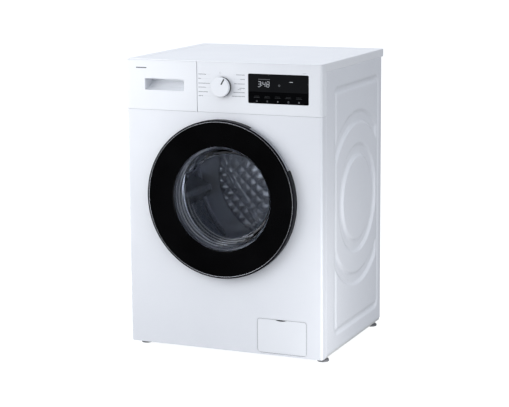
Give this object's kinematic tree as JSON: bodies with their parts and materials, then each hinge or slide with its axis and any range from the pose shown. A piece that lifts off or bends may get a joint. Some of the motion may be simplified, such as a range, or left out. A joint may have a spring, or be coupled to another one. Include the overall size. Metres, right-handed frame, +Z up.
{
  "type": "front load washing machine",
  "caption": "Free-standing front loading washing machine with a round glazed door, detergent drawer, programme knob, dark display window, filter flap and belt driven drum.",
  "frame": {"origin": "on the floor under the centre of the bounding box", "axes": "+X to the right seen from the front, +Y from the door to the rear panel, +Z up"},
  "size_m": [0.6, 0.55, 0.85],
  "materials": {
    "white_enamel": "satin white enamel on steel sheet",
    "white_plastic": "fine satin white ABS",
    "white_laminate": "satin white laminate",
    "black_gloss": "piano black",
    "dark_window": "smoked gloss",
    "clear_glass": "polished",
    "light_grey_plastic": "satin",
    "grey_plastic": "moulded",
    "dark_plastic": "moulded",
    "grey_rubber": "moulded EPDM",
    "black_rubber": "matt",
    "stainless": "rolled stainless sheet",
    "zinc_steel": "zinc plated",
    "cast_aluminium": "as cast",
    "concrete": "cast, porous",
    "green_board": "solder mask"
  },
  "bodies": {
    "cabinet": {"side_panel_left": "white_enamel", "side_panel_right": "white_enamel", "rear_panel": "white_enamel", "rear_cover": "white_enamel", "base_tray": "grey_plastic", "front_panel": "white_enamel", "worktop": "white_laminate", "control_fascia": "white_plastic", "display_window": "dark_window", "control_board": "green_board", "dispenser_housing": "grey_plastic", "inlet_valve": "white_plastic", "internal_hoses": "grey_rubber", "dispenser_hose": "black_rubber", "door_lock": "dark_plastic", "door_hinge_bracket": "zinc_steel", "door_gasket": "grey_rubber", "drain_pump": "grey_plastic", "sump_hose": "black_rubber", "rear_fittings": "light_grey_plastic", "damper_cylinders": "light_grey_plastic", "suspension_springs": "zinc_steel", "top_brace": "zinc_steel", "cabinet_fasteners": "zinc_steel", "flap_frame": "white_plastic"},
    "tub": {"tub_front": "grey_plastic", "tub_rear": "grey_plastic", "drum_bearings": "zinc_steel", "counterweights": "concrete", "motor_housing": "zinc_steel", "drive_belt": "black_rubber", "heater": "zinc_steel", "damper_rods": "zinc_steel"},
    "drum": {"drum_shell": "stainless", "drum_lifters": "stainless", "drum_spider": "cast_aluminium", "drum_pulley": "cast_aluminium"},
    "rotor": {"motor_rotor": "zinc_steel"},
    "door": {"door_ring": "black_gloss", "door_window": "black_gloss", "door_glass": "clear_glass", "door_inner_frame": "light_grey_plastic", "door_grip": "light_grey_plastic", "door_hinge_leaf": "zinc_steel", "door_hinge_pin": "zinc_steel"},
    "hook": {"door_hook": "zinc_steel"},
    "drawer": {"drawer_front": "white_plastic", "drawer_tray": "light_grey_plastic"},
    "knob": {"programme_knob": "white_plastic"},
    "flap": {"filter_flap": "white_plastic"},
    "filter": {"drain_filter": "light_grey_plastic"},
    "button_1": {"key_1": "dark_window"},
    "button_2": {"key_2": "dark_window"},
    "button_3": {"key_3": "dark_window"},
    "button_4": {"key_4": "dark_window"},
    "button_5": {"key_5": "dark_window"},
    "levelling_foot_front_left": {"foot_1": "dark_plastic"},
    "levelling_foot_front_right": {"foot_2": "dark_plastic"},
    "levelling_foot_rear_left": {"foot_3": "dark_plastic"},
    "levelling_foot_rear_right": {"foot_4": "dark_plastic"}
  },
  "joints": [
    {"name": "door_hinge", "type": "hinge", "parent": "cabinet", "child": "door", "pos_m": [-0.22, -0.264, 0.461], "axis": [0, 0, -1], "range_deg": [0, 120]},
    {"name": "hook_pivot", "type": "hinge", "parent": "door", "child": "hook", "pos_m": [0.196, -0.258, 0.461], "axis": [0, 0, 1], "range_deg": [0, 8], "stiffness_Nm_per_rad": 0.6},
    {"name": "drawer_slide", "type": "slide", "parent": "cabinet", "child": "drawer", "axis": [0, -1, 0], "range_m": [0, 0.19]},
    {"name": "knob_turn", "type": "hinge", "parent": "cabinet", "child": "knob", "pos_m": [0.002, -0.26, 0.7795], "axis": [0, 1, 0], "continuous": true},
    {"name": "flap_hinge", "type": "hinge", "parent": "cabinet", "child": "flap", "pos_m": [0.178, -0.249, 0.0266], "axis": [1, 0, 0], "range_deg": [0, 90]},
    {"name": "filter_turn", "type": "hinge", "parent": "cabinet", "child": "filter", "pos_m": [0.178, -0.22, 0.08], "axis": [0, 1, 0], "continuous": true},
    {"name": "tub_bounce", "type": "slide", "parent": "cabinet", "child": "tub", "axis": [0, 0, 1], "range_m": [-0.01, 0.01], "stiffness_N_per_m": 14000, "springref_m": 0.0184, "deforming": ["suspension_springs", "dispenser_hose", "sump_hose", "door_gasket"]},
    {"name": "drum_spin", "type": "hinge", "parent": "tub", "child": "drum", "pos_m": [0, 0.17, 0.461], "axis": [0, 1, 0], "continuous": true},
    {"name": "rotor_spin", "type": "hinge", "parent": "tub", "child": "rotor", "pos_m": [0.07, 0.12, 0.151], "axis": [0, 1, 0], "continuous": true},
    {"name": "button_1_press", "type": "slide", "parent": "cabinet", "child": "button_1", "axis": [0, 1, 0], "range_m": [0, 0.0008], "stiffness_N_per_m": 800},
    {"name": "button_2_press", "type": "slide", "parent": "cabinet", "child": "button_2", "axis": [0, 1, 0], "range_m": [0, 0.0008], "stiffness_N_per_m": 800},
    {"name": "button_3_press", "type": "slide", "parent": "cabinet", "child": "button_3", "axis": [0, 1, 0], "range_m": [0, 0.0008], "stiffness_N_per_m": 800},
    {"name": "button_4_press", "type": "slide", "parent": "cabinet", "child": "button_4", "axis": [0, 1, 0], "range_m": [0, 0.0008], "stiffness_N_per_m": 800},
    {"name": "button_5_press", "type": "slide", "parent": "cabinet", "child": "button_5", "axis": [0, 1, 0], "range_m": [0, 0.0008], "stiffness_N_per_m": 800},
    {"name": "front_left_foot_turn", "type": "hinge", "parent": "cabinet", "child": "levelling_foot_front_left", "pos_m": [-0.28, -0.19, 0.02], "axis": [0, 0, 1], "continuous": true},
    {"name": "front_right_foot_turn", "type": "hinge", "parent": "cabinet", "child": "levelling_foot_front_right", "pos_m": [0.28, -0.19, 0.02], "axis": [0, 0, 1], "continuous": true},
    {"name": "rear_left_foot_turn", "type": "hinge", "parent": "cabinet", "child": "levelling_foot_rear_left", "pos_m": [-0.28, 0.226, 0.02], "axis": [0, 0, 1], "continuous": true},
    {"name": "rear_right_foot_turn", "type": "hinge", "parent": "cabinet", "child": "levelling_foot_rear_right", "pos_m": [0.28, 0.226, 0.02], "axis": [0, 0, 1], "continuous": true}
  ],
  "couplings": [
    {"joint": "rotor_spin", "follows": "drum_spin", "ratio": 14}
  ]
}
